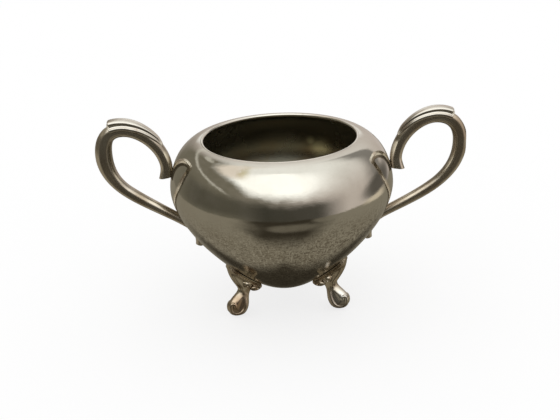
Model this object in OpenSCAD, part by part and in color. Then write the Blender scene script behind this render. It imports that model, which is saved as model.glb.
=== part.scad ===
// Two-handled sugar bowl in silver plate, standing on three cast scroll feet.
// Millimetres. The bowl's axis is Z and its toes stand on z = 0. The handles lie
// along X, and the gap between the two front feet faces -Y.

/* [Bowl] */
// Radius of the belly at its widest
belly_r = 57.5; // [56:0.5:59]
// Height of the widest part of the belly
belly_z = 68.2; // [66.2:0.5:70.2]
// Radius of the outside of the mouth
mouth_r = 39.5; // [37:0.5:41]
// Height of the mouth
mouth_z = 92.3; // [90.5:0.1:94]
// Height of the underside above the floor
base_z = 12.2; // [11.4:0.2:13]
// Thickness of the spun metal
wall = 1; // [0.8:0.1:1.4]
// Thickness of the wire under the edge of the mouth
wire_d = 1.9; // [1.6:0.1:2.4]

/* [Handles] */
// Outermost point of a handle's centre line, from the bowl's axis
handle_reach = 91.6; // [88:0.2:95]
// Height of the top of a handle's centre line
handle_top = 99.8; // [98:0.2:102]
// Radius of the round arm where it leaves the bowl
arm_r = 2.4; // [2.1:0.05:2.9]
// Radius of the tube at the outer bend
bend_r = 3.7; // [3.2:0.1:4]
// Height of the thumb leaf above the tube at its outer end
leaf_h = 2.6; // [1.8:0.1:3]

/* [Feet] */
// Number of degrees between the front gap's centre and a front foot
front_foot_deg = 60; // [56:1:62]
// Distance from the bowl's axis to the middle of a toe
toe_r = 30.3; // [29.3:0.5:31.3]
// Thickness of a foot from side to side
foot_w = 5.6; // [4.8:0.2:7]
// Turn of the three feet together about the bowl's axis, away from square with the handles
foot_turn = 3.5; // [0:0.5:6]
// Half the angle of the saddle that is soldered to the bowl
saddle_deg = 12; // [9:1:15]

/* [Hidden] */
$fn = 96;
silver = [0.68, 0.66, 0.60];
worn_silver = [0.55, 0.51, 0.44];
// Straight steps along each half of the bowl's wall
curve_steps = 22;
// Points around the handle's tube, and steps along each piece of its centre line
ring_points = 24;
path_steps = 9;
// Radius of the flat middle of the bowl's underside
base_flat_r = 11.5;
// Place of the wire's middle outside the edge of the mouth, and its top above the edge
wire_back = 0.3;
wire_rise = 0.1;
// Thickness of a foot's saddle, how far it is let into the wall before it is cut to
// fit, and the steps of the wall between which it lies
saddle_t = 1.8;
saddle_lap = 0.5;
saddle_from = 3;
saddle_to = 10;
// Depth of the sunk face of a leg, on each side
pocket_d = 0.9;
// The toe's dome and curl, as [distance from the toe's middle, height], radius
toe_dome = [-0.3, 6.6];
toe_dome_r = 4.3;
toe_curl = [3.1, 6.4];
toe_curl_r = 2.1;
toe_curl_proud = 0.6;
// The two cast lobes under the saddle, as [distance from the toe's middle, height, radius]
lobes = [[-4.6, 17, 2.3], [-9.6, 14, 2]];

// A point on a cubic curve, and the unit direction there.
function bez(p, t) =
    (1 - t)^3 * p[0] + 3 * (1 - t)^2 * t * p[1] + 3 * (1 - t) * t^2 * p[2] + t^3 * p[3];
function slope(p, t) =
    (1 - t)^2 * (p[1] - p[0]) + 2 * (1 - t) * t * (p[2] - p[1]) + t^2 * (p[3] - p[2]);
function unit(v) = v / norm(v);
function right_of(v) = [v[1], -v[0]];
function arc(p, steps) = [for (i = [0 : steps]) bez(p, i / steps)];

// The bowl's wall as two curves of [radius, height] that meet at the widest part.
lower_wall = [
    [base_flat_r, base_z], [base_flat_r + 6.5, base_z],
    [belly_r, belly_z - 22], [belly_r, belly_z]
];
upper_wall = [
    [belly_r, belly_z], [belly_r, belly_z + 7],
    [belly_r - 4, mouth_z - 0.4], [mouth_r, mouth_z]
];

// The wall moved outwards by d, with a minus sign for inwards.
function wall_line(p, d, from, to) = [
    for (i = [from : to])
        bez(p, i / curve_steps) + d * right_of(unit(slope(p, i / curve_steps)))
];
function whole_wall(d) = concat(
    wall_line(lower_wall, d, 0, curve_steps),
    wall_line(upper_wall, d, 1, curve_steps)
);
function reversed(list) = [for (i = [len(list) - 1 : -1 : 0]) list[i]];

module bowl_outside() {
    rotate_extrude()
        polygon(concat([[0, base_z]], whole_wall(0), [[0, mouth_z]]));
}

module wire_ring() {
    rotate_extrude()
        translate([mouth_r + wire_back, mouth_z + wire_rise - wire_d / 2])
            circle(d = wire_d);
}

module bowl_body() {
    color(silver)
        difference() {
            rotate_extrude()
                polygon(concat(
                    [[0, base_z]], whole_wall(0),
                    reversed(whole_wall(-wall)), [[0, base_z + wall]]
                ));
            wire_ring();
        }
}

module rim_wire() {
    color(silver) wire_ring();
}

// The handle's centre line in [x, z]: tail against the bowl, round arm, outer bend,
// top bend, back of the scroll and the hoof at its inner end.
handle_path = [
    [[45.2, 34.2], [43.6, 39.2], [46.2, 44.6], [52, 48.2]],
    [[52, 48.2], [60, 53], [72, 58.6], [80, 64.9]],
    [[80, 64.9], [87, 70.4], [handle_reach, 77.6], [handle_reach, 86.2]],
    [[handle_reach, 86.2], [handle_reach, 94.8], [87, handle_top], [79.5, handle_top]],
    [[79.5, handle_top], [70.5, handle_top], [61, 90.2], [59.9, 79.4]],
    [[59.9, 79.4], [59.7, 77.2], [61, 75.6], [60.4, 73.2]]
];
// The tube's radius where the pieces of the centre line meet.
handle_radius = [1.1, arm_r, arm_r + 0.15, bend_r, 3.35, 3.1, 3.3];

// A place s along the handle is the number of a piece of its centre line and a part of it.
function piece_of(s) = min(floor(s), len(handle_path) - 1);
function eased(t) = t * t * (3 - 2 * t);
function handle_at(s) = bez(handle_path[piece_of(s)], s - piece_of(s));
function handle_dir(s) = unit(slope(handle_path[piece_of(s)], s - piece_of(s)));
function handle_r(s) =
    let (k = piece_of(s), t = s - k)
    handle_radius[k] + (handle_radius[k + 1] - handle_radius[k]) * (k == 0 ? t^0.5 : eased(t));
function ring_at(s, r, deg) =
    let (c = handle_at(s), n = right_of(handle_dir(s)))
    [c[0] + r * cos(deg) * n[0], r * sin(deg), c[1] + r * cos(deg) * n[1]];

// Joins rows of points, each a closed loop of n points, into a closed skin.
module skin(rows) {
    n = len(rows[0]);
    last = (len(rows) - 1) * n;
    sides = [
        for (i = [0 : len(rows) - 2], j = [0 : n - 1])
            let (a = i * n + j, b = i * n + (j + 1) % n)
            each [[a, b, b + n], [a, b + n, a + n]]
    ];
    near_end = [for (j = [n - 1 : -1 : 0]) j];
    far_end = [for (j = [0 : n - 1]) last + j];
    polyhedron([for (row = rows) each row], concat(sides, [near_end, far_end]));
}

function handle_ring(s) = [
    for (j = [0 : ring_points - 1]) ring_at(s, handle_r(s), j * 360 / ring_points)
];

// One cast handle on the +X side, cut to fit the bowl's wall.
module handle() {
    color(worn_silver)
        difference() {
            skin([
                for (i = [0 : len(handle_path) * path_steps]) handle_ring(i / path_steps)
            ]);
            bowl_outside();
        }
}

module left_handle() {
    mirror([1, 0, 0]) handle();
}

module right_handle() {
    handle();
}

// The thumb leaf runs over the top of the tube, thin at its inner tip and with a
// step at its outer tip. It has a middle rib between two flutes.
leaf_from = 3 + 7 / path_steps;
leaf_to = 4 + 6 / path_steps;
leaf_tip_h = 0.25;
// Points of the tube's ring that the leaf covers on each side of its rib
leaf_side = 5;

function leaf_rise(s) =
    let (u = (leaf_to - s) / (leaf_to - leaf_from))
    leaf_tip_h + (leaf_h - leaf_tip_h) * u^0.8;
function leaf_shape(deg) = 0.35 + 0.55 * cos(deg) + 0.1 * cos(4 * deg);
function leaf_loop(s) = concat(
    [for (j = [-leaf_side : leaf_side])
        let (deg = j * 360 / ring_points)
        ring_at(s, handle_r(s) + leaf_rise(s) * leaf_shape(deg), deg)],
    [for (j = [leaf_side : -1 : -leaf_side]) ring_at(s, handle_r(s), j * 360 / ring_points)]
);

module thumb_leaf() {
    steps = round((leaf_to - leaf_from) * path_steps);
    color(silver)
        skin([for (i = [0 : steps]) leaf_loop(leaf_from + i / path_steps)]);
}

module left_thumb_leaf() {
    mirror([1, 0, 0]) thumb_leaf();
}

module right_thumb_leaf() {
    thumb_leaf();
}

// Side outline of a foot in [distance from the bowl's axis, height], with its middle
// at the toe: knee, ankle, toe, flat pad, heel and the bracket under the bowl.
function foot_outline(c) = concat(
    arc([[c + 5.2, 32.8], [c + 6.7, 25.7], [c + 2.1, 19.3], [c, 15.4]], 10),
    arc([[c, 15.4], [c - 0.8, 11.8], [c + 6.1, 11.4], [c + 6.1, 5.8]], 10),
    arc([[c + 6.1, 5.8], [c + 6.1, 2.2], [c + 3.9, 0], [c + 1.2, 0]], 8),
    arc([[c - 1.2, 0], [c - 4.2, 0], [c - 5.7, 3], [c - 6, 6.8]], 8),
    arc([[c - 6, 6.8], [c - 6.3, 10.2], [c - 8, 12], [c - 11, 11.4]], 8),
    [[c - 14.4, 12.2], [c - 14.4, 19], [c - 3, 29]]
);

// The sunk face of the leg, inside a border that ends in the toe's curl. The toe's
// dome rises from it.
function foot_pocket(c) = concat(
    arc([[c - 4.2, 14], [c - 4.6, 7.4], [c - 3.8, 1.7], [c + 0.6, 1.6]], 8),
    arc([[c + 0.6, 1.6], [c + 3.8, 1.6], [c + 4.9, 4], [c + 4, 6]], 8),
    arc([[c + 4, 6], [c + 2.8, 9.2], [c - 2.2, 10.2], [c - 1.8, 14]], 8)
);

module upright(w) {
    rotate([90, 0, 0]) linear_extrude(w, center = true) children();
}

// A strip of metal that follows the underside of the bowl.
module saddle() {
    rotate([0, 0, -saddle_deg])
        rotate_extrude(angle = 2 * saddle_deg)
            polygon(concat(
                wall_line(lower_wall, -saddle_lap, saddle_from, saddle_to),
                reversed(wall_line(lower_wall, saddle_t, saddle_from, saddle_to))
            ));
}

module leg() {
    difference() {
        upright(foot_w) polygon(foot_outline(toe_r));
        for (side = [-1, 1])
            translate([0, side * foot_w / 2, 0])
                upright(2 * pocket_d) polygon(foot_pocket(toe_r));
    }
}

module toe() {
    translate([toe_r + toe_dome[0], 0, toe_dome[1]]) sphere(r = toe_dome_r);
    translate([toe_r + toe_curl[0], 0, toe_curl[1]])
        upright(foot_w + 2 * toe_curl_proud) circle(r = toe_curl_r);
}

module cast_lobes() {
    for (lobe = lobes, side = [-1, 1])
        translate([toe_r + lobe[0], side * foot_w / 2, lobe[1]]) sphere(r = lobe[2]);
}

// One foot pointing along +X, cut to fit the bowl.
module foot() {
    color(worn_silver)
        difference() {
            union() {
                leg();
                saddle();
                toe();
                cast_lobes();
            }
            bowl_outside();
        }
}

module front_left_foot() {
    rotate([0, 0, -90 - front_foot_deg + foot_turn]) foot();
}

module front_right_foot() {
    rotate([0, 0, -90 + front_foot_deg + foot_turn]) foot();
}

module rear_foot() {
    rotate([0, 0, 90 + foot_turn]) foot();
}

bowl_body();
rim_wire();
left_handle();
right_handle();
left_thumb_leaf();
right_thumb_leaf();
front_left_foot();
front_right_foot();
rear_foot();
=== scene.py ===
"""Two-handled sugar bowl in worn silver plate, on three cast scroll feet.

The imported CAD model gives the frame. Each visible piece is built here as a finer mesh
that stands for its CAD node, with a procedural silver-plate material.
Shapes are written in millimetres and turned into metres when a mesh is made.
"""
import math
from types import SimpleNamespace

import bmesh
import bpy
from mathutils import Matrix, Vector, noise


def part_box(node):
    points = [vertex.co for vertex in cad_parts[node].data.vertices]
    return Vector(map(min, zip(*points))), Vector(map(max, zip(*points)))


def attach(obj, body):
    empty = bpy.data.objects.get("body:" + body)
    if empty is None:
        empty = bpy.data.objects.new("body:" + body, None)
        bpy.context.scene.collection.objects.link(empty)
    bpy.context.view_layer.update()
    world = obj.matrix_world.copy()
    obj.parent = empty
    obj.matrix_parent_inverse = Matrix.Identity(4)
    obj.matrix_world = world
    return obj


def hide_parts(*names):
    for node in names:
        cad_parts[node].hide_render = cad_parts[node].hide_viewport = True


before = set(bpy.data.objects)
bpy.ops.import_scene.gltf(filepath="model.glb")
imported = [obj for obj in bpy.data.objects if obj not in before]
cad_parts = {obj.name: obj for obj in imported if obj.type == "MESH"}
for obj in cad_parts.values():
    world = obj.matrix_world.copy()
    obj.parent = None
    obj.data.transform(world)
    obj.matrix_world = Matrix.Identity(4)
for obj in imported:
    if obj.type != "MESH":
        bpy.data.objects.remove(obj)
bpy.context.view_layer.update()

MM = 0.001


# ---------------------------------------------------------------- sizes, from the frame

def size_mm(node):
    """Lowest and highest corner of a CAD node, in millimetres."""
    low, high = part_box(node)
    return [v / MM for v in low], [v / MM for v in high]


BOWL_LOW, BOWL_HIGH = size_mm("bowl_body")
WIRE_LOW, WIRE_HIGH = size_mm("rim_wire")
HANDLE_HIGH = size_mm("right_handle")[1]

# The shell: its widest part is BELLY_UP above its flat base. Over the SMOOTH_BAND below its mouth
# its unevenness fades out and the lift of the mouth's back fades in.
BELLY_R = BOWL_HIGH[0]
BELLY_UP = 56
BASE_Z = BOWL_LOW[2]
BELLY_Z = BASE_Z + BELLY_UP
WALL = 1.0
BASE_FLAT_R = 11.5
SMOOTH_BAND = 4

# The lip wire, and the shell's edge: a little inside the wire's centre line and below its top.
WIRE_R = (WIRE_HIGH[2] - WIRE_LOW[2]) / 2
WIRE_LINE_R = WIRE_HIGH[0] - WIRE_R
WIRE_Z = WIRE_HIGH[2] - WIRE_R
EDGE_IN = 0.3
EDGE_DOWN = 0.1
MOUTH_R = WIRE_LINE_R - EDGE_IN
MOUTH_Z = WIRE_HIGH[2] - EDGE_DOWN
MOUTH_LIFT = 0.6

# The handles' centre lines run one tube radius inside the CAD handles' reach and top.
HANDLE_BEND_R = 3.7
HANDLE_CREST_R = 3.4
HANDLE_REACH = HANDLE_HIGH[0] - HANDLE_BEND_R
HANDLE_TOP = HANDLE_HIGH[2] - HANDLE_CREST_R
ARM_R = 2.4

# How far the toes are from the bowl's axis, how far round the front feet stand from the front,
# and how far all three feet are turned about the axis.
TOE_R = 30.3
FRONT_FOOT_DEG = 60
FOOT_TURN = 3.5


# ---------------------------------------------------------------- curves and meshes

def bez(p, t):
    """A point on the cubic curve that four control points give."""
    u = 1 - t
    w = (u**3, 3 * u * u * t, 3 * u * t * t, t**3)
    return Vector([sum(k * q[i] for k, q in zip(w, p)) for i in range(len(p[0]))])


def slope(p, t):
    """The unit direction of a cubic curve."""
    u = 1 - t
    w = (u * u, 2 * u * t, t * t)
    d = [Vector(p[i + 1]) - Vector(p[i]) for i in range(3)]
    return sum((k * v for k, v in zip(w, d)), Vector([0.0] * len(p[0]))).normalized()


def curve_points(p, count):
    """Evenly stepped points of a cubic curve, with both ends."""
    return [bez(p, i / count) for i in range(count + 1)]


def chain(pieces, count):
    """Points along several cubic curves that follow on from each other."""
    points = []
    for k, p in enumerate(pieces):
        points += curve_points(p, count)[0 if k == 0 else 1:]
    return points


def clamp(t):
    return min(1.0, max(0.0, t))


def eased(t):
    """A smooth rise from 0 at t = 0 to 1 at t = 1, level outside that."""
    t = clamp(t)
    return t * t * (3 - 2 * t)


def add_object(name, data):
    """A new object in the scene."""
    obj = bpy.data.objects.new(name, data)
    bpy.context.scene.collection.objects.link(obj)
    return obj


def make_object(name, verts, faces, smooth=True):
    """A mesh object from points in millimetres."""
    mesh = bpy.data.meshes.new(name)
    mesh.from_pydata([Vector(v) * MM for v in verts], [], faces)
    mesh.update()
    bm = bmesh.new()
    bm.from_mesh(mesh)
    bmesh.ops.recalc_face_normals(bm, faces=bm.faces)
    bm.to_mesh(mesh)
    bm.free()
    if smooth:
        mesh.polygons.foreach_set("use_smooth", [True] * len(mesh.polygons))
    return add_object(name, mesh)


def skin(rows, closed_ends=True):
    """The points of several rows, each a closed loop, and the faces that join the rows.

    closed_ends puts a fan of faces on the first and the last row.
    """
    n = len(rows[0])
    verts = [v for row in rows for v in row]
    faces = []
    for i in range(len(rows) - 1):
        for j in range(n):
            a = i * n + j
            b = i * n + (j + 1) % n
            faces.append((a, b, b + n, a + n))
    if closed_ends:
        for row, start in ((rows[0], 0), (rows[-1], (len(rows) - 1) * n)):
            middle = sum((Vector(v) for v in row), Vector((0, 0, 0))) / n
            verts.append(middle)
            tip = len(verts) - 1
            for j in range(n):
                faces.append((start + j, start + (j + 1) % n, tip))
    return verts, faces


def lathe(profile, count):
    """Spins [radius, height] points about Z. Both ends lie on the axis."""
    verts = [(0, 0, profile[0][1])]
    for r, z in profile[1:-1]:
        for j in range(count):
            a = 2 * math.pi * j / count
            verts.append((r * math.cos(a), r * math.sin(a), z))
    verts.append((0, 0, profile[-1][1]))
    faces = []
    rings = len(profile) - 2
    for j in range(count):
        k = (j + 1) % count
        faces.append((0, 1 + k, 1 + j))
        for i in range(rings - 1):
            a = 1 + i * count
            faces.append((a + j, a + k, a + count + k, a + count + j))
        a = 1 + (rings - 1) * count
        faces.append((a + j, a + k, len(verts) - 1))
    return verts, faces


# ---------------------------------------------------------------- the bowl's wall

# Two curves of the outside, as [radius, height] control points: base to belly, belly to mouth.
LOWER_WALL = [
    (BASE_FLAT_R, BASE_Z), (BASE_FLAT_R + 6.5, BASE_Z),
    (BELLY_R, BELLY_Z - 22), (BELLY_R, BELLY_Z),
]
UPPER_WALL = [
    (BELLY_R, BELLY_Z), (BELLY_R, BELLY_Z + 7),
    (BELLY_R - 4, MOUTH_Z - 0.4), (MOUTH_R, MOUTH_Z),
]
WALL_LINE = chain([LOWER_WALL, UPPER_WALL], 200)


def mouth_lift(p):
    """How much a point rises, because the back of the mouth is a little higher than the front."""
    r = math.hypot(p[0], p[1])
    near_mouth = eased((p[2] - MOUTH_Z + SMOOTH_BAND) / SMOOTH_BAND)
    return MOUTH_LIFT * near_mouth * (1 + p[1] / r) / 2 if r > 1 else 0.0


def wall_radius(z):
    """Outside radius of the bowl at a height."""
    if z <= WALL_LINE[0][1]:
        return 0.0
    for a, b in zip(WALL_LINE, WALL_LINE[1:]):
        if z <= b[1]:
            return a[0] + (b[0] - a[0]) * (z - a[1]) / max(b[1] - a[1], 1e-9)
    return WALL_LINE[-1][0]


def wall_height(r):
    """Height of the underside at a radius, below the widest part."""
    if r <= BASE_FLAT_R:
        return BASE_Z
    for a, b in zip(WALL_LINE, WALL_LINE[1:]):
        if r <= b[0]:
            return a[1] + (b[1] - a[1]) * (r - a[0]) / max(b[0] - a[0], 1e-9)
    return BELLY_Z


SEAT_DEPTH = 0.25
SIDE_Z = 40


def seat(p):
    """Moves a point that lies inside the bowl to its wall, so that a casting sits on it.

    It moves out sideways above SIDE_Z and down to the underside below that.
    """
    r = math.hypot(p[0], p[1])
    if p[2] < BASE_Z or p[2] > MOUTH_Z:
        return p
    edge = wall_radius(p[2]) - SEAT_DEPTH
    if r >= edge or r < 1e-6:
        return p
    if p[2] > SIDE_Z:
        return Vector((p[0] * edge / r, p[1] * edge / r, p[2]))
    return Vector((p[0], p[1], wall_height(r) + SEAT_DEPTH))


def wall_curve(p, count, inset):
    """Points along one curve of the wall, moved in by inset."""
    points = []
    for i in range(count + 1):
        at = bez(p, i / count)
        d = slope(p, i / count)
        points.append((at[0] - inset * d[1], at[1] + inset * d[0]))
    return points


def uneven(p, amount, scale, seed):
    """A smooth random offset of at most about amount, the same on every run."""
    return amount * noise.noise(Vector(p) / scale + Vector((seed, seed * 1.7, -seed)))


def bowl_body():
    """The spun shell. Its skin wanders by up to about a tenth of a millimetre."""
    outside = wall_curve(LOWER_WALL, 70, 0) + wall_curve(UPPER_WALL, 60, 0)[1:]
    inside = wall_curve(LOWER_WALL, 50, WALL) + wall_curve(UPPER_WALL, 40, WALL)[1:-1]
    rings = 6
    under = [(BASE_FLAT_R * k / rings, BASE_Z) for k in range(rings)]
    bottom = [(BASE_FLAT_R * k / rings, BASE_Z + WALL) for k in range(rings)]
    profile = under + outside + inside[::-1] + bottom[::-1]
    verts, faces = lathe(profile, 256)
    moved = []
    for v in verts:
        p = Vector(v)
        out = Vector((p[0], p[1], 0)).normalized()
        low = eased((62 - p[2]) / 30)
        wander = uneven(p, amount=0.10, scale=26, seed=3.1)
        wander += uneven(p, amount=0.02 + 0.03 * low, scale=8, seed=9.4)
        steady_edge = clamp((MOUTH_Z - p[2]) / SMOOTH_BAND)
        moved.append(p + out * wander * steady_edge + Vector((0, 0, mouth_lift(p))))
    return make_object("bowl_shell", moved, faces)


def rim_wire():
    """The wire under the edge of the mouth, a closed ring that lifts with it at the back."""
    rows = []
    around = 24
    count = 256
    for j in range(count):
        a = 2 * math.pi * j / count
        centre_z = WIRE_Z + MOUTH_LIFT * (1 + math.sin(a)) / 2
        row = []
        for k in range(around):
            b = 2 * math.pi * k / around
            r = WIRE_LINE_R + WIRE_R * math.cos(b)
            row.append(Vector((r * math.cos(a), r * math.sin(a), centre_z + WIRE_R * math.sin(b))))
        rows.append(row)
    verts, faces = skin(rows + [rows[0]], closed_ends=False)
    # The last row is the first one again, so its faces go back to the first row's points.
    total = count * around
    faces = [tuple(i % total for i in face) for face in faces]
    return make_object("mouth_wire", verts[:total], faces)


# ---------------------------------------------------------------- handles

# Places on a handle count the curves of its path: 2.5 is half-way along the third.
RIDGE_FROM = 1.3
RIDGE_FADE = 0.9
LEAF_TO = 4.68
HOOF_FROM = 5
HOOF_FLARE = 0.26
HOOF_SLANT = 0.7

# The leaf: half its angle round the tube, the share of its length that its step takes to rise,
# its height at the inner point, its least height, and how far its underside is sunk in the tube.
LEAF_HALF_DEG = 88
LEAF_STEP_RUN = 0.07
LEAF_LOW = 0.9
LEAF_LEAST = 0.06
LEAF_SUNK = 0.1


def handle_path(reach, top, back, sag):
    """The centre line: tail, arm, outer bend, top bend, back of the scroll and hoof.

    The two castings sit a little differently: back moves the scroll's back towards the bowl
    and sag lowers the arm.
    """
    arm_end = (80, 64.9 - sag)
    outer = (reach, 86.2)
    crest = (79.5, top)
    neck = (59.9 - back, 79.4)
    return [
        [(45.2, 34.2), (43.6, 39.2), (46.2, 44.4), (52, 48)],
        [(52, 48), (60, 52.8 - 0.5 * sag), (72, 58.6 - sag), arm_end],
        [arm_end, (87, 70.4 - sag), (reach, 77.6 - sag), outer],
        [outer, (reach, 94.8), (87, top), crest],
        [crest, (70.5, top), (61 - back, 90.2), neck],
        [neck, (neck[0] - 0.1, 77.2), (neck[0] + 0.2, 75.4), (neck[0] + 0.4, 73.2)],
    ]


class HandleShape:
    """What differs between the two castings: centre line, tube radii, leaf and worn flat."""

    def __init__(self, path, radii, leaf_h, leaf_from, flat_x=math.inf):
        self.path = path
        self.radii = radii
        self.leaf_h = leaf_h
        self.leaf_from = leaf_from
        self.flat_x = flat_x

    def piece(self, s):
        """Which curve of the path a place is on, and how far along it."""
        k = min(int(s), len(self.path) - 1)
        return k, s - k

    def at(self, s):
        """The centre line."""
        k, t = self.piece(s)
        return bez(self.path[k], t)

    def out(self, s):
        """The direction away from the inside of the scroll."""
        k, t = self.piece(s)
        d = slope(self.path[k], t)
        return Vector((d[1], -d[0]))

    def radius(self, s, a):
        """The tube's radius, with soft ridges from the arm on and a flare in the hoof."""
        k, t = self.piece(s)
        t = math.sqrt(t) if k == 0 else eased(t)
        r = self.radii[k] + (self.radii[k + 1] - self.radii[k]) * t
        ridge = eased((s - RIDGE_FROM) / RIDGE_FADE)
        r *= 1 - ridge * (0.045 * math.cos(4 * a) + 0.012 * math.cos(8 * a))
        hoof = max(0.0, s - HOOF_FROM)
        return r * (1 + HOOF_FLARE * hoof**2.5 * max(0.0, -math.cos(a)))

    def point(self, s, r, a):
        """A point at distance r from the centre line; angle 0 faces out, 90 degrees faces back.

        The hoof's end is cut aslant, lower on the inside of the scroll.
        """
        c = self.at(s)
        n = self.out(s)
        x = c[0] + r * math.cos(a) * n[0]
        slant = HOOF_SLANT * max(0.0, s - HOOF_FROM) ** 2 * math.cos(a)
        return Vector((min(x, self.flat_x), r * math.sin(a), c[1] + r * math.cos(a) * n[1] + slant))


LEFT_HANDLE = HandleShape(
    handle_path(reach=HANDLE_REACH - 1.3, top=HANDLE_TOP - 0.4, back=1.0, sag=-1.1),
    radii=[1.9, ARM_R + 0.15, 3.2, 4.4, 3.6, 3.2, 3.2],
    leaf_h=2.8, leaf_from=3.71,
)
RIGHT_HANDLE = HandleShape(
    handle_path(reach=HANDLE_REACH + 0.4, top=HANDLE_TOP + 0.1, back=0.6, sag=1.1),
    radii=[1.7, ARM_R + 0.15, 2.9, 3.6, 3.5, 3.2, 3.4],
    leaf_h=2.3, leaf_from=3.64, flat_x=HANDLE_REACH + 3.15,
)


def mirrored(points, side):
    """The same points on the left (side = -1) or the right (side = 1)."""
    return [(side * p[0], p[1], p[2]) for p in points]


def handle(shape, side, name):
    """A cast C-scroll: tail, arm, outer bend, top and the hoof by the shoulder."""
    rows = []
    steps = 240
    around = 48
    for i in range(steps + 1):
        s = len(shape.path) * i / steps
        row = []
        for j in range(around):
            a = 2 * math.pi * j / around
            row.append(shape.point(s, shape.radius(s, a), a))
        rows.append(row)
    verts, faces = skin(rows)
    return make_object(name, mirrored([seat(v) for v in verts], side), faces)


def leaf_half_angle(u):
    """Half the angle that the leaf covers, from its step (u = 0) to its inner point (u = 1)."""
    tongue = min(1.0, (u + 0.03) / 0.07)
    point = min(1.0, (1.01 - u) / 0.55)
    return math.radians(LEAF_HALF_DEG) * math.sqrt(tongue * (2 - tongue)) * (0.2 + 0.8 * math.sqrt(point))


def leaf_height(shape, u, a, half):
    """Height above the tube: a round middle rib, a groove on each side of it and a low border."""
    along = LEAF_LOW + (shape.leaf_h - LEAF_LOW) * (1 - u) ** 0.9
    along *= math.sqrt(min(1.0, (1.005 - u) / 0.12))
    end = max(0.0, 1 - u / LEAF_STEP_RUN)
    v = min(1.0, ((abs(a) / half) ** 4 + end**4) ** 0.25)
    rib = math.exp(-(v / 0.52) ** 8)
    border = 0.60 * math.exp(-((v - 0.80) / 0.18) ** 4)
    return LEAF_LEAST + along * max(rib, border, 0.3) * math.sqrt(max(0.0, 1 - v**8))


def thumb_leaf(shape, side, name):
    """The leaf on top of a handle: its underside is sunk a little into the tube."""
    rows = []
    steps = 150
    across = 72
    for i in range(steps + 1):
        u = i / steps
        s = shape.leaf_from + (LEAF_TO - shape.leaf_from) * u
        half = leaf_half_angle(u)
        top = []
        under = []
        for j in range(across + 1):
            a = half * (-1 + 2 * j / across)
            base = shape.radius(s, a)
            top.append(shape.point(s, base + leaf_height(shape, u, a, half), a))
            under.append(shape.point(s, base - LEAF_SUNK, a))
        rows.append(top + under[::-1])
    verts, faces = skin(rows)
    return make_object(name, mirrored(verts, side), faces)


# ---------------------------------------------------------------- feet

# The side outline, as [distance from the bowl's axis, height] control points about the toe.
C = TOE_R
FOOT_OUTLINE = [
    [(C + 5.4, 33), (C + 6.9, 25.8), (C + 2.2, 19.4), (C - 0.2, 15.4)],
    [(C - 0.2, 15.4), (C - 0.9, 11.8), (C + 6.6, 11.0), (C + 6.6, 5.8)],
    [(C + 6.6, 5.8), (C + 6.6, 2.2), (C + 4.2, 0), (C + 0.6, 0)],
    [(C + 0.6, 0), (C - 3.4, 0), (C - 5.2, 3.4), (C - 5.6, 7.2)],
    [(C - 5.6, 7.2), (C - 5.9, 10.6), (C - 6.4, 13), (C - 9.5, 13.6)],
    [(C - 9.5, 13.6), (C - 12, 14), (C - 12, 18), (C - 9, 22)],
]
# The raised border runs down the inner edge of a face, under the toe and into a curl.
SCROLL_LINE = [
    [(C - 3.0, 17.5), (C - 2.8, 13), (C - 2.9, 10), (C - 2.2, 7.4)],
    [(C - 2.2, 7.4), (C - 1.4, 4.2), (C + 0.4, 2.2), (C + 3.0, 2.3)],
    [(C + 3.0, 2.3), (C + 5.2, 2.6), (C + 6.1, 4.8), (C + 5.5, 7.2)],
    [(C + 5.5, 7.2), (C + 4.9, 8.9), (C + 3.1, 8.4), (C + 3.7, 6.4)],
]
UPPER_LOBE = (C - 4.2, 18.0)
LOWER_LOBE = (C - 9.4, 14.4)
UPPER_PIT = (UPPER_LOBE[0] + 0.5, UPPER_LOBE[1] - 0.7)
LOBE_PIT_DEPTH = 1.0

# The saddle lies along the bowl's underside. Below it means 0.6 outwards and 0.8 down, at right
# angles to the underside there.
SADDLE_FROM = 17.0
SADDLE_RUN = 18.6
SADDLE_HALF_THICK = 0.8
BELOW_X = 0.6
BELOW_Z = 0.8

# The leg's half thickness and the reach of its rounded edges, and how both change in the toe.
LEG_HALF = 2.2
TOE_HALF_GAIN = 2.2
TIP_HALF_LOSS = 1.9
LEG_ROUND = 2.3
TOE_ROUND_GAIN = 1.4
ANKLE_Z = 14.5
TOE_FADE = 9
CORD_R = 1.0
CORD_SUNK = 0.45


def ball(centre, radius):
    """An ellipsoid with its own radius along each axis."""
    mesh = bpy.data.meshes.new("ball")
    bm = bmesh.new()
    bmesh.ops.create_icosphere(bm, subdivisions=4, radius=1.0)
    for v in bm.verts:
        v.co = Vector([centre[i] + radius[i] * v.co[i] for i in range(3)]) * MM
    bm.to_mesh(mesh)
    bm.free()
    return add_object("ball", mesh)


def toe_share(z):
    """One at the toe, a smooth fall to zero at the ankle and above it."""
    return eased((ANKLE_Z - z) / TOE_FADE)


def foot_half(x, z):
    """Half the thickness of the leg: full at the toe, thinner in its tip and above the ankle."""
    tip = eased((x - C + 2) / 8)
    return LEG_HALF + (TOE_HALF_GAIN - TIP_HALF_LOSS * tip) * toe_share(z)


def edge_round(z):
    """How far in from the side outline a face is rounded off."""
    return LEG_ROUND + TOE_ROUND_GAIN * toe_share(z)


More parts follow.
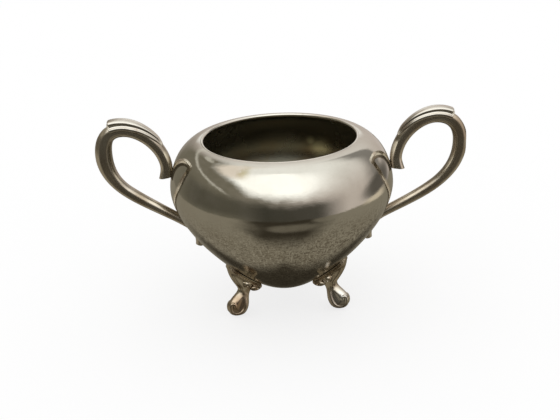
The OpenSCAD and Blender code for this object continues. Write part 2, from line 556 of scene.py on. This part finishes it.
def pillow(outline, name):
    """A plate with this side outline whose edges are rounded off like a cushion's."""
    n = len(outline)
    area = sum(outline[i - 1][0] * outline[i][1] - outline[i][0] * outline[i - 1][1] for i in range(n))
    inward = []
    for i in range(n):
        d = Vector(outline[(i + 1) % n]) - Vector(outline[i - 1])
        inward.append(Vector((-d[1], d[0])).normalized() * (1 if area > 0 else -1))
    rows = []
    layers = 16
    for k in range(layers + 1):
        t = math.sin(math.pi / 2 * (-1 + 2 * k / layers))
        row = []
        for p, d in zip(outline, inward):
            q = Vector(p) + d * edge_round(p[1]) * (1 - math.sqrt(max(0.0, 1 - t * t)))
            row.append(Vector((q[0], foot_half(*q) * t, q[1])))
        rows.append(row)
    verts, faces = skin(rows)
    return make_object(name, verts, faces)


def tube(points, radii, name):
    """A round cord through points in 3D."""
    rows = []
    around = 12
    for i, p in enumerate(points):
        d = (points[min(i + 1, len(points) - 1)] - points[max(i - 1, 0)]).normalized()
        up = d.cross(Vector((0, 1, 0))).normalized()
        across = up.cross(d).normalized()
        row = []
        for j in range(around):
            a = 2 * math.pi * j / around
            row.append(p + radii[i] * (math.cos(a) * up + math.sin(a) * across))
        rows.append(row)
    verts, faces = skin(rows)
    return make_object(name, verts, faces)


def face_at(p, outline):
    """Distance of the rounded face from the leg's middle plane, at a point of the side view."""
    edge = min((Vector(p) - Vector(q)).length for q in outline)
    slack = max(0.0, 1 - edge / edge_round(p[1]))
    return foot_half(*p) * math.sqrt(1 - slack**2)


def scroll_cord(side, outline):
    """The raised border down one face of the leg, which ends in the toe's curl."""
    flat = chain(SCROLL_LINE, 16)
    last = len(flat) - 1
    points = [Vector((p[0], side * (face_at(p, outline) - CORD_SUNK), p[1])) for p in flat]
    radii = [CORD_R - 0.15 * i / last for i in range(last + 1)]
    return tube(points, radii, "cord")


def saddle(half_width, depth):
    """A leaf-shaped strip that follows the underside of the bowl, at a depth below it."""
    rows = []
    steps = 40
    around = 20
    for i in range(steps + 1):
        u = i / steps
        r = SADDLE_FROM + SADDLE_RUN * u
        leaf = math.sqrt(max(0.004, 1 - abs(2 * u - 1) ** 3))
        row = []
        for j in range(around):
            a = 2 * math.pi * j / around
            y = half_width * leaf * math.cos(a)
            below = (depth + SADDLE_HALF_THICK * math.sin(a)) * leaf
            z = wall_height(math.hypot(r, y)) - BELOW_Z * below
            row.append(Vector((r + BELOW_X * below, y, z)))
        rows.append(row)
    verts, faces = skin(rows)
    return make_object("saddle", verts, faces)


def join(objects, name):
    """One object made of the meshes of several, which are removed."""
    bm = bmesh.new()
    for o in objects:
        bm.from_mesh(o.data)
    mesh = bpy.data.meshes.new(name)
    bm.to_mesh(mesh)
    bm.free()
    for o in objects:
        bpy.data.objects.remove(o)
    return add_object(name, mesh)


def apply_modifiers(obj):
    """Replaces an object's mesh by the mesh that its modifiers give."""
    graph = bpy.context.evaluated_depsgraph_get()
    mesh = bpy.data.meshes.new_from_object(obj.evaluated_get(graph))
    obj.modifiers.clear()
    obj.data = mesh
    return obj


def melt(obj, voxel, rounds):
    """Turns a mesh of overlapping solids into one even skin and softens its edges."""
    remesh = obj.modifiers.new("melt", "REMESH")
    remesh.mode = "VOXEL"
    remesh.voxel_size = voxel * MM
    soften = obj.modifiers.new("soften", "SMOOTH")
    soften.factor = 0.5
    soften.iterations = rounds
    return apply_modifiers(obj)


def dimple(p, centre, side, reach):
    """Sinks a small round pit into one face of the foot."""
    if p[1] * side <= 0:
        return p
    away = math.hypot(p[0] - centre[0], p[2] - centre[1]) / reach
    return Vector((p[0], p[1] - side * LOBE_PIT_DEPTH * math.exp(-away**4), p[2]))


def foot_master():
    """One cast foot pointing along +X: leg, knee lobes, saddle and border, melted into one skin."""
    outline = chain(FOOT_OUTLINE, 14)[:-1]
    leg = melt(pillow(outline, "leg"), voxel=0.35, rounds=10)
    parts = [leg, saddle(half_width=5.8, depth=0.5), saddle(half_width=4.9, depth=1.9)]
    for side in (-1, 1):
        parts.append(scroll_cord(side, outline))
        parts.append(ball((UPPER_LOBE[0], side * 3.0, UPPER_LOBE[1]), (2.2, 2.0, 2.0)))
        parts.append(ball((LOWER_LOBE[0], side * 2.9, LOWER_LOBE[1]), (3.6, 2.0, 1.9)))
    cast = melt(join(parts, "foot_master"), voxel=0.22, rounds=3)
    for v in cast.data.vertices:
        p = v.co / MM
        for side in (-1, 1):
            p = dimple(p, UPPER_PIT, side, reach=0.75)
            p = dimple(p, LOWER_LOBE, side, reach=1.0)
        p = seat(p)
        p[2] = max(p[2], 0.0)
        v.co = p * MM
    cast.data.polygons.foreach_set("use_smooth", [True] * len(cast.data.polygons))
    return cast


def foot(master, degrees, name):
    """A copy of the cast foot, turned about the bowl's axis."""
    mesh = master.data.copy()
    mesh.transform(Matrix.Rotation(math.radians(degrees), 4, "Z"))
    return add_object(name, mesh)


# ---------------------------------------------------------------- materials

class Nodes:
    """Short helpers for building a node tree. Colours are given as (r, g, b)."""

    def __init__(self, tree):
        self.tree = tree
        tree.nodes.clear()

    def new(self, kind, **inputs):
        node = self.tree.nodes.new(kind)
        for key, value in inputs.items():
            self.set(node, key, value)
        return node

    def set(self, node, key, value):
        """Links or fills one input of a node, found by its name or its number."""
        socket = node.inputs[key]
        if isinstance(value, bpy.types.NodeSocket):
            self.tree.links.new(value, socket)
        elif socket.type == "RGBA":
            socket.default_value = (*value, 1.0)
        else:
            socket.default_value = value

    def math(self, operation, a, b=0.0):
        node = self.tree.nodes.new("ShaderNodeMath")
        node.operation = operation
        self.set(node, 0, a)
        self.set(node, 1, b)
        return node.outputs[0]

    def add(self, a, b):
        return self.math("ADD", a, b)

    def sub(self, a, b):
        return self.math("SUBTRACT", a, b)

    def mul(self, a, b):
        return self.math("MULTIPLY", a, b)

    def div(self, a, b):
        return self.math("DIVIDE", a, b)

    def most(self, a, b):
        """The larger of two values."""
        return self.math("MAXIMUM", a, b)

    def size(self, a):
        """A value without its sign."""
        return self.math("ABSOLUTE", a)

    def vector(self, operation, a, b):
        node = self.tree.nodes.new("ShaderNodeVectorMath")
        node.operation = operation
        self.set(node, 0, a)
        self.set(node, 1, b)
        return node.outputs

    def ramp(self, value, low, high, out_low=0.0, out_high=1.0):
        """A smooth step from out_low at low to out_high at high."""
        node = self.tree.nodes.new("ShaderNodeMapRange")
        node.interpolation_type = "SMOOTHSTEP"
        for index, v in enumerate((value, low, high, out_low, out_high)):
            self.set(node, index, v)
        return node.outputs[0]

    def near(self, value, centre, reach, fade=None):
        """One near a centre value and zero beyond reach of it; the fall takes the last part, fade."""
        away = self.size(self.sub(value, centre))
        return self.ramp(away, reach, reach - (fade or reach))

    def patch(self, a, b, centre, reach):
        """A soft oval patch in the plane of two values."""
        u = self.div(self.sub(a, centre[0]), reach[0])
        v = self.div(self.sub(b, centre[1]), reach[1])
        return self.ramp(self.add(self.mul(u, u), self.mul(v, v)), 1.0, 0.1)

    def spot(self, position, centre, reach):
        """A soft round spot in space."""
        return self.ramp(self.vector("DISTANCE", position, centre)["Value"], reach, 0.0)

    def stretch(self, position, x, y, z):
        """A position scaled along each axis, for marks that are longer one way than another."""
        return self.vector("MULTIPLY", position, (x, y, z))["Vector"]

    def noise(self, position, scale, detail=3.0, rough=0.55):
        node = self.new("ShaderNodeTexNoise", Vector=position, Scale=scale, Detail=detail, Roughness=rough)
        return node.outputs["Fac"]

    def mix(self, factor, a, b):
        """A colour between a and b. Sockets 6 and 7 and output 2 are the node's colour ones."""
        node = self.tree.nodes.new("ShaderNodeMix")
        node.data_type = "RGBA"
        self.set(node, 0, factor)
        self.set(node, 6, a)
        self.set(node, 7, b)
        return node.outputs[2]

    def mix_shader(self, factor, a, b):
        node = self.tree.nodes.new("ShaderNodeMixShader")
        for index, value in enumerate((factor, a, b)):
            self.set(node, index, value)
        return node.outputs[0]


# Places and reaches are in metres, in the frame of the bowl. Noise scales are per metre.
WHITE = (1.0, 1.0, 1.0)
BOWL_BRIGHT = (0.80, 0.775, 0.70)
BOWL_TONED = (0.50, 0.45, 0.36)
BOWL_LOW_TONE = (0.62, 0.57, 0.46)
BOWL_ROUGH = 0.045
SCUFF_TOP = 0.076
SCUFF_FULL = 0.056
SCUFF_ROUGH = 0.07
CLOUD_ROUGH = 0.06
FLECK_TONE = (0.20, 0.16, 0.11)
GLINT_TONE = (1.0, 0.97, 0.88)
PIT_TONE = (0.14, 0.12, 0.09)
STAIN_AT = (-0.0182, -0.044, 0.0897)
STAIN_REACH = 0.006
STAIN_TONE = (0.42, 0.34, 0.13)
# Inside the bowl: painted light near the mouth, patchy tarnish, and painted shade on the floor.
INSIDE_TOP_LIT = (0.52, 0.52, 0.44)
INSIDE_DARK = (0.29, 0.28, 0.22)
INSIDE_WARM = (0.31, 0.25, 0.16)
INSIDE_FLOOR_SHADE = (0.11, 0.095, 0.065)
INSIDE_ROUGH = 0.20
# Two painted highlights on the inside wall: places, reaches and their tone.
INSIDE_HIGHLIGHT_AT = (0.0232, 0.0515, 0.0685)
INSIDE_HIGHLIGHT_REACH = 0.009
INSIDE_SMALL_HIGHLIGHT_AT = (0.0180, 0.0532, 0.0725)
INSIDE_SMALL_HIGHLIGHT_REACH = 0.004
INSIDE_HIGHLIGHT_TONE = (1.0, 0.97, 0.66)
# Painted shade on the handles: the dark tone for the side that faces the bowl, and how far the casting is
# darkened in its reflections.
INNER_SHADE_TONE = (0.16, 0.13, 0.09)
MIRRORED_SHADE = 0.6
# Spots on the front toes: place, reach and tone. The bright one is a painted highlight.
TOE_HIGHLIGHT = ((0.0280, -0.0190, 0.0085), 0.008, (1.0, 0.98, 0.93))
BROWN_TOE = ((-0.0250, -0.0210, 0.0070), 0.009, (0.62, 0.45, 0.30))


def new_material(name):
    """An empty material and the helper that fills it."""
    material = bpy.data.materials.new(name)
    material.use_nodes = True
    return material, Nodes(material.node_tree)


def finish_metal(n, colour, roughness, bump):
    """The metal's shader and the material's output."""
    shader = n.new("ShaderNodeBsdfPrincipled", Metallic=1.0, Roughness=roughness, Normal=bump.outputs[0])
    n.set(shader, "Base Color", colour)
    n.new("ShaderNodeOutputMaterial", Surface=shader.outputs[0])


def facing_bowl(n, place):
    """How squarely a surface faces the middle of the bowl: 0 for not at all, 1 for fully."""
    x = n.new("ShaderNodeSeparateXYZ", Vector=place).outputs["X"]
    outwards = n.new("ShaderNodeCombineXYZ", X=n.div(x, n.size(x))).outputs[0]
    normal = n.new("ShaderNodeNewGeometry").outputs["Normal"]
    return n.ramp(n.vector("DOT_PRODUCT", normal, outwards)["Value"], -0.2, -0.75)


def painted_inner_shade(n, place, inner_shade):
    """Painted shade: darker on the side that faces the bowl, and darker all over in the casting's
    reflections on the bowl.
    """
    mirrored = n.mul(n.new("ShaderNodeLightPath").outputs["Is Glossy Ray"], MIRRORED_SHADE)
    return n.most(n.mul(facing_bowl(n, place), inner_shade), mirrored)


def plate(name, bright, toned, rough, tone_scale, tone_amount, scratch, inner_shade=0.0, spots=()):
    """Silver plate: bright where rubbed, toned where tarnished, with fine polishing marks.

    The argument for the inner side says how much painted shade darkens the side that faces the bowl; when
    it is set, the casting's reflections on the bowl are darkened too.
    Each spot is a place, a reach and the colour painted there, such as a painted highlight.
    """
    material, n = new_material(name)
    place = n.new("ShaderNodeTexCoord").outputs["Object"]
    cloud = n.noise(place, tone_scale, 5.0, 0.6)
    tone = n.ramp(cloud, 0.62 - tone_amount, 0.92 - tone_amount)
    colour = n.mix(tone, bright, toned)
    # Painted shade on the side that faces the bowl and in the casting's reflections.
    if inner_shade:
        colour = n.mix(painted_inner_shade(n, place, inner_shade), colour, INNER_SHADE_TONE)
    # Spots of colour, such as a painted highlight.
    for centre, reach, spot_tone in spots:
        colour = n.mix(n.spot(place, centre, reach), colour, spot_tone)
    fine = n.noise(place, 900.0, 3.0, 0.6)
    roughness = n.add(rough, n.mul(tone, 0.10))
    roughness = n.add(roughness, n.mul(n.sub(fine, 0.5), 0.10))
    marks = n.noise(n.stretch(place, 1, 1, 7), 260.0, 4.0, 0.65)
    bump = n.new("ShaderNodeBump", Strength=scratch, Distance=0.00002, Height=marks)
    finish_metal(n, colour, roughness, bump)
    return material


def inside_share(n, x, y, z):
    """One on the faces that look into the bowl and on the floor inside it, zero elsewhere."""
    facing = n.new("ShaderNodeNewGeometry").outputs["Normal"]
    outwards = n.new("ShaderNodeCombineXYZ", X=x, Y=y, Z=0.0).outputs[0]
    radius = n.math("SQRT", n.add(n.mul(x, x), n.mul(y, y)))
    turn = n.div(n.vector("DOT_PRODUCT", facing, outwards)["Value"], radius)
    up = n.new("ShaderNodeSeparateXYZ", Vector=facing).outputs["Z"]
    bottom = n.mul(n.ramp(up, 0.3, 0.7), n.ramp(z, 0.040, 0.030))
    return n.most(n.ramp(turn, 0.05, -0.05), bottom)


def inside_tone(n, place, z):
    """Patchy tarnish, with painted light near the mouth, painted shade darkest on the floor and two
    painted highlights.
    """
    patchy = n.ramp(n.noise(place, 45.0, 4.0), 0.35, 0.7)
    colour = n.mix(patchy, INSIDE_DARK, INSIDE_WARM)
    # Painted light near the mouth and painted shade on the floor.
    colour = n.mix(n.ramp(z, 0.070, 0.088), colour, INSIDE_TOP_LIT)
    colour = n.mix(n.ramp(z, 0.032, 0.015), colour, INSIDE_FLOOR_SHADE)
    # Two painted highlights.
    large = n.spot(place, INSIDE_HIGHLIGHT_AT, INSIDE_HIGHLIGHT_REACH)
    small = n.spot(place, INSIDE_SMALL_HIGHLIGHT_AT, INSIDE_SMALL_HIGHLIGHT_REACH)
    return n.mix(n.most(large, small), colour, INSIDE_HIGHLIGHT_TONE)


def bowl_pits(n, place, worn):
    """Small round pits, in patches of the worn part."""
    pit = n.new("ShaderNodeTexVoronoi", Vector=place, Scale=640.0)
    where = n.mul(worn, n.ramp(n.noise(place, 60.0, 3.0), 0.42, 0.60))
    return n.mul(n.ramp(pit.outputs["Distance"], 0.30, 0.14), where)


def outside_tone(n, place, low, worn, grain, pits):
    """Blotchy tone all over, dark flecks, bright scratches and pits low down, and one stain."""
    blotch = n.noise(place, 75.0, 4.0, 0.6)
    tone = n.mul(n.ramp(blotch, 0.40, 0.75), n.add(0.16, n.mul(low, 0.35)))
    colour = n.mix(tone, BOWL_BRIGHT, BOWL_TONED)
    colour = n.mix(n.mul(low, 0.30), colour, BOWL_LOW_TONE)

    coarse = n.noise(n.stretch(place, 1, 1, 2), 430.0, 3.0, 0.6)
    fleck = n.most(n.ramp(grain, 0.50, 0.60), n.ramp(coarse, 0.53, 0.61))
    colour = n.mix(n.mul(fleck, n.mul(worn, 0.8)), colour, FLECK_TONE)

    lines = n.noise(n.stretch(place, 1, 1, 5), 300.0, 3.0, 0.7)
    cross_lines = n.noise(n.stretch(place, 4, 1, 1), 260.0, 3.0, 0.7)
    glint = n.most(n.ramp(lines, 0.44, 0.34), n.ramp(cross_lines, 0.44, 0.34))
    colour = n.mix(n.mul(glint, low), colour, GLINT_TONE)
    colour = n.mix(n.mul(pits, 0.65), colour, PIT_TONE)

    stain = n.mul(n.spot(place, STAIN_AT, STAIN_REACH), n.ramp(blotch, 0.35, 0.6))
    return n.mix(n.mul(stain, 0.7), colour, STAIN_TONE)


def bowl_plate():
    """The bowl: polished shoulder, scuffed and pitted lower half, dark tarnish inside with painted light,
    shade and highlights.
    """
    material, n = new_material("bowl_plate")
    place = n.new("ShaderNodeTexCoord").outputs["Object"]
    x, y, z = n.new("ShaderNodeSeparateXYZ", Vector=place).outputs
    cloud = n.noise(place, 28.0, 5.0, 0.6)
    grain = n.noise(place, 950.0, 3.0, 0.65)
    low = n.ramp(n.add(z, n.mul(cloud, 0.012)), SCUFF_TOP, SCUFF_FULL)
    worn = n.mul(low, n.ramp(x, -0.03, 0.035, 0.6, 1.0))
    pits = bowl_pits(n, place, worn)
    inside = inside_share(n, x, y, z)

    outer = outside_tone(n, place, low, worn, grain, pits)
    colour = n.mix(inside, outer, inside_tone(n, place, z))
    roughness = n.add(BOWL_ROUGH, n.mul(low, SCUFF_ROUGH))
    roughness = n.add(roughness, n.mul(n.ramp(cloud, 0.40, 0.7), CLOUD_ROUGH))
    roughness = n.add(roughness, n.mul(inside, INSIDE_ROUGH))

    marks = n.noise(n.stretch(place, 1, 1, 9), 320.0, 4.0, 0.7)
    dents = n.noise(n.stretch(place, 1, 1, 1.6), 150.0, 4.0, 0.6)
    height = n.add(n.mul(marks, 0.35), n.mul(grain, n.mul(low, 1.2)))
    height = n.sub(height, n.mul(pits, 1.2))
    height = n.add(height, n.mul(dents, n.ramp(z, 0.080, 0.060, 2.4, 1.0)))
    bump = n.new("ShaderNodeBump", Strength=0.5, Distance=0.00004, Height=height)
    finish_metal(n, colour, roughness, bump)
    return material


# ---------------------------------------------------------------- room, floor and camera

# Bearings are in degrees: 0 towards the viewer, + to the right. Heights are degrees above level.
DEGREES = 180 / math.pi
CEILING = (0.97, 0.975, 0.95)
LAMP = (1.34, 1.35, 1.33)
BEIGE = (0.80, 0.70, 0.60)
LEFT_WALL = (0.17, 0.155, 0.118)
RIGHT_WALL = (0.56, 0.50, 0.46)
CORD = (0.72, 0.70, 0.63)
CUPBOARD = (0.17, 0.16, 0.145)
FIGURE = (0.036, 0.034, 0.025)
TABLE = (0.235, 0.212, 0.165)
TABLE_SHADOW = (0.038, 0.032, 0.022)
CLOTH = (0.66, 0.58, 0.46)


def room_directions(n):
    """Where a reflected ray goes: its bearing and height, and the same with uneven edges."""
    way = n.new("ShaderNodeTexCoord").outputs["Generated"]
    x, y, z = n.new("ShaderNodeSeparateXYZ", Vector=way).outputs
    height = n.mul(n.math("ARCSINE", z), DEGREES)
    bearing = n.mul(n.math("ARCTAN2", x, n.mul(y, -1.0)), DEGREES)
    ripple = n.sub(n.noise(way, 2.2, 4.0, 0.6), 0.5)
    return SimpleNamespace(
        x=x, y=y, height=height, bearing=bearing, ripple=ripple,
        rough_height=n.add(height, n.mul(ripple, 14.0)),
        rough_bearing=n.add(bearing, n.mul(ripple, 40.0)),
    )


def walls_and_ceiling(n, at):
    """Walls that reach higher at the sides, under a white ceiling with a lamp and a beige patch."""
    left = n.mul(n.ramp(at.bearing, -6.0, -86.0), n.ramp(at.bearing, -179.0, -150.0))
    right = n.most(n.ramp(at.bearing, 15.0, 80.0), n.ramp(at.bearing, -150.0, -180.0))
    wall_top = n.add(22.0, n.add(n.mul(left, 27.0), n.mul(right, 18.0)))
    spread = n.sub(n.add(11.0, n.mul(right, 26.0)), n.mul(left, 5.0))
    above = n.ramp(n.div(n.sub(at.rough_height, wall_top), spread), -1.0, 1.0)

    shade = n.add(n.mul(at.ripple, 0.5), n.most(n.ramp(at.bearing, -55.0, 60.0), right))
    wall = n.mix(shade, LEFT_WALL, RIGHT_WALL)
    ceiling = n.mix(n.near(at.bearing, -8.0, 110.0, 80.0), CEILING, LAMP)
    beige = n.patch(at.bearing, at.height, (-118.0, 56.0), (62.0, 13.0))
    ceiling = n.mix(n.mul(beige, 0.8), ceiling, BEIGE)
    return n.mix(above, wall, ceiling)


def add_cord(n, at, light):
    """A pale cord that hangs in an arch on the left wall, and a short glint beyond it."""
    fall = n.mul(n.math("POWER", n.add(at.bearing, 120.0), 2.0), 0.0032)
    arch = n.near(at.height, n.sub(31.0, fall), 2.6)
    arch = n.mul(arch, n.ramp(at.bearing, -50.0, -75.0))
    slant = n.sub(at.height, n.mul(n.add(at.bearing, 152.0), 0.5))
    glint = n.patch(at.bearing, slant, (-152.0, 38.0), (12.0, 4.0))
    return n.mix(n.mul(n.most(arch, glint), 0.6), light, CORD)


def add_cupboard(n, at, light):
    """A dark slanting cupboard at the back right, a bright sill at the back and low shade."""
    streak = n.sub(n.add(at.bearing, n.mul(at.ripple, 16.0)), n.mul(at.height, 0.75))
    cupboard = n.mul(n.ramp(streak, 130.0, 121.0), n.ramp(streak, 82.0, 110.0))
    cupboard = n.mul(cupboard, n.near(at.rough_height, 26.0, 30.0, 14.0))
    light = n.mix(n.mul(cupboard, 0.85), light, CUPBOARD)
    sill = n.patch(n.size(at.bearing), at.height, (180.0, 16.0), (15.0, 5.0))
    light = n.mix(n.mul(sill, 0.9), light, CEILING)
    low_shade = n.patch(at.bearing, at.height, (115.0, -4.0), (37.0, 14.0))
    return n.mix(n.mul(low_shade, 0.85), light, FIGURE)


def add_figure(n, at, light):
    """A dark figure in front of the bowl, and a dark skirting to the left of it."""
    skirting = n.mul(n.near(at.height, 2.0, 22.0, 16.0), n.near(at.bearing, -72.0, 70.0, 50.0))
    light = n.mix(n.mul(skirting, 0.6), light, FIGURE)
    figure = n.mul(n.near(at.bearing, 8.0, 64.0, 40.0), n.ramp(at.rough_height, 20.0, 2.0))
    return n.mix(n.mul(figure, 0.93), light, FIGURE)


def add_table(n, at, light):
    """A tan table with shadows before and behind the bowl, a sheen, and a pale cloth at the right."""
    front = n.mul(n.near(at.rough_bearing, 1.0, 64.0, 42.0), n.ramp(at.rough_height, -88.0, -52.0))
    top = n.mix(front, TABLE, TABLE_SHADOW)
    sheen = n.patch(at.rough_bearing, at.rough_height, (8.0, -37.0), (38.0, 13.0))
    sheen = n.most(sheen, n.patch(at.bearing, at.height, (42.0, -21.0), (18.0, 9.0)))
    top = n.mix(n.mul(sheen, 0.5), top, TABLE)
    behind = n.sub(at.y, n.mul(n.size(at.x), 0.85))
    behind = n.ramp(n.add(behind, n.mul(at.ripple, 0.12)), 0.06, 0.30)
    behind = n.mul(behind, n.ramp(at.height, -28.0, -48.0))
    top = n.mix(behind, top, TABLE_SHADOW)
    edge = n.add(at.height, n.mul(n.size(n.sub(at.bearing, 5.0)), -0.045))
    light = n.mix(n.ramp(edge, -16.6, -18.2), light, top)
    cloth = n.mul(n.near(at.height, -13.5, 4.5, 3.0), n.near(at.bearing, 106.0, 24.0, 18.0))
    return n.mix(n.mul(cloth, 0.9), light, CLOTH)


def room():
    """A plain bright room that only reflections see. The floor and the camera see even white light."""
    world = bpy.data.worlds.new("studio")
    bpy.context.scene.world = world
    world.use_nodes = True
    n = Nodes(world.node_tree)
    at = room_directions(n)
    light = walls_and_ceiling(n, at)
    for add_shape in (add_cord, add_cupboard, add_figure, add_table):
        light = add_shape(n, at, light)
    plain = n.new("ShaderNodeBackground", Color=WHITE, Strength=1.0)
    painted = n.new("ShaderNodeBackground", Color=light, Strength=1.0)
    reflected = n.new("ShaderNodeLightPath").outputs["Is Glossy Ray"]
    n.new("ShaderNodeOutputWorld", Surface=n.mix_shader(reflected, plain.outputs[0], painted.outputs[0]))


FLOOR_HALF = 3000
FLOOR_SHADOW = 0.25


def floor():
    """A plain pale floor. It catches a faint soft shadow, and the metal doesn't see it."""
    corners = [(x * FLOOR_HALF, y * FLOOR_HALF, 0) for x, y in ((-1, -1), (1, -1), (1, 1), (-1, 1))]
    obj = make_object("floor", corners, [(0, 1, 2, 3)], smooth=False)
    material, n = new_material("pale_floor")
    lit = n.new("ShaderNodeBsdfDiffuse", Color=WHITE)
    own = n.new("ShaderNodeEmission", Color=WHITE, Strength=1.0)
    n.new("ShaderNodeOutputMaterial", Surface=n.mix_shader(FLOOR_SHADOW, own.outputs[0], lit.outputs[0]))
    obj.data.materials.append(material)
    obj.visible_glossy = False


# Places, the lens and the sensor's width are in millimetres, angles in degrees.
CAMERA_BACK = 438.3
CAMERA_UP = 231.1
CAMERA_PITCH = 22.24
CAMERA_YAW = -0.19
CAMERA_ROLL = -2.52
CAMERA_LENS = 57.86
CAMERA_SENSOR = 36


def camera():
    """The viewpoint of the reference view, with the slight roll it was held at."""
    pitch = math.radians(CAMERA_PITCH)
    yaw = math.radians(CAMERA_YAW)
    roll = math.radians(CAMERA_ROLL)
    forward = Vector((math.sin(yaw) * math.cos(pitch), math.cos(yaw) * math.cos(pitch), -math.sin(pitch)))
    right = forward.cross(Vector((0, 0, 1))).normalized()
    up = right.cross(forward)
    tilted_right = math.cos(roll) * right + math.sin(roll) * up
    tilted_up = math.cos(roll) * up - math.sin(roll) * right
    data = bpy.data.cameras.new("camera")
    data.lens = CAMERA_LENS
    data.sensor_width = CAMERA_SENSOR
    data.sensor_fit = "HORIZONTAL"
    data.clip_start = 0.01
    obj = add_object("camera", data)
    turn = Matrix((tilted_right, tilted_up, -forward)).transposed().to_4x4()
    obj.matrix_world = Matrix.Translation(Vector((0, -CAMERA_BACK, CAMERA_UP)) * MM) @ turn
    bpy.context.scene.camera = obj


# ---------------------------------------------------------------- assembly

HANDLE_SILVER = dict(
    bright=(0.95, 0.87, 0.74), toned=(0.60, 0.50, 0.37), rough=0.19,
    tone_scale=60.0, tone_amount=0.20, scratch=0.05, inner_shade=0.6,
)
LEAF_SILVER = dict(
    bright=(0.78, 0.74, 0.66), toned=(0.50, 0.38, 0.30), rough=0.17,
    tone_scale=90.0, tone_amount=0.12, scratch=0.1,
)
FOOT_SILVER = dict(
    bright=(0.74, 0.67, 0.54), toned=(0.40, 0.31, 0.21), rough=0.17,
    tone_scale=110.0, tone_amount=0.24, scratch=0.12, spots=(TOE_HIGHLIGHT, BROWN_TOE),
)
RIM_SILVER = dict(
    bright=(0.86, 0.83, 0.75), toned=(0.55, 0.48, 0.36), rough=0.14,
    tone_scale=70.0, tone_amount=0.10, scratch=0.2,
)
HANDLES = (("left", -1, LEFT_HANDLE), ("right", 1, RIGHT_HANDLE))
FRONT_DEG = -90
FEET = (
    ("front_left", FRONT_DEG - FRONT_FOOT_DEG),
    ("front_right", FRONT_DEG + FRONT_FOOT_DEG),
    ("rear", FRONT_DEG + 180),
)


def stand_in(obj, node, material):
    """Makes a piece stand for its CAD node."""
    obj.data.materials.clear()
    obj.data.materials.append(material)
    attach(obj, "root")
    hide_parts(node)


def build():
    handle_silver = plate("handle_plate", **HANDLE_SILVER)
    leaf_silver = plate("leaf_plate", **LEAF_SILVER)
    foot_silver = plate("foot_plate", **FOOT_SILVER)
    stand_in(bowl_body(), "bowl_body", bowl_plate())
    stand_in(rim_wire(), "rim_wire", plate("rim_plate", **RIM_SILVER))
    for word, side, shape in HANDLES:
        scroll = handle(shape, side, word + "_scroll_handle")
        stand_in(scroll, word + "_handle", handle_silver)
        leaf = thumb_leaf(shape, side, word + "_leaf")
        stand_in(leaf, word + "_thumb_leaf", leaf_silver)
    master = foot_master()
    for word, degrees in FEET:
        cast = foot(master, degrees + FOOT_TURN, word + "_scroll_foot")
        stand_in(cast, word + "_foot", foot_silver)
    bpy.data.objects.remove(master)


build()
room()
floor()
camera()
bpy.context.scene.view_settings.view_transform = "Standard"

bpy.context.view_layer.update()
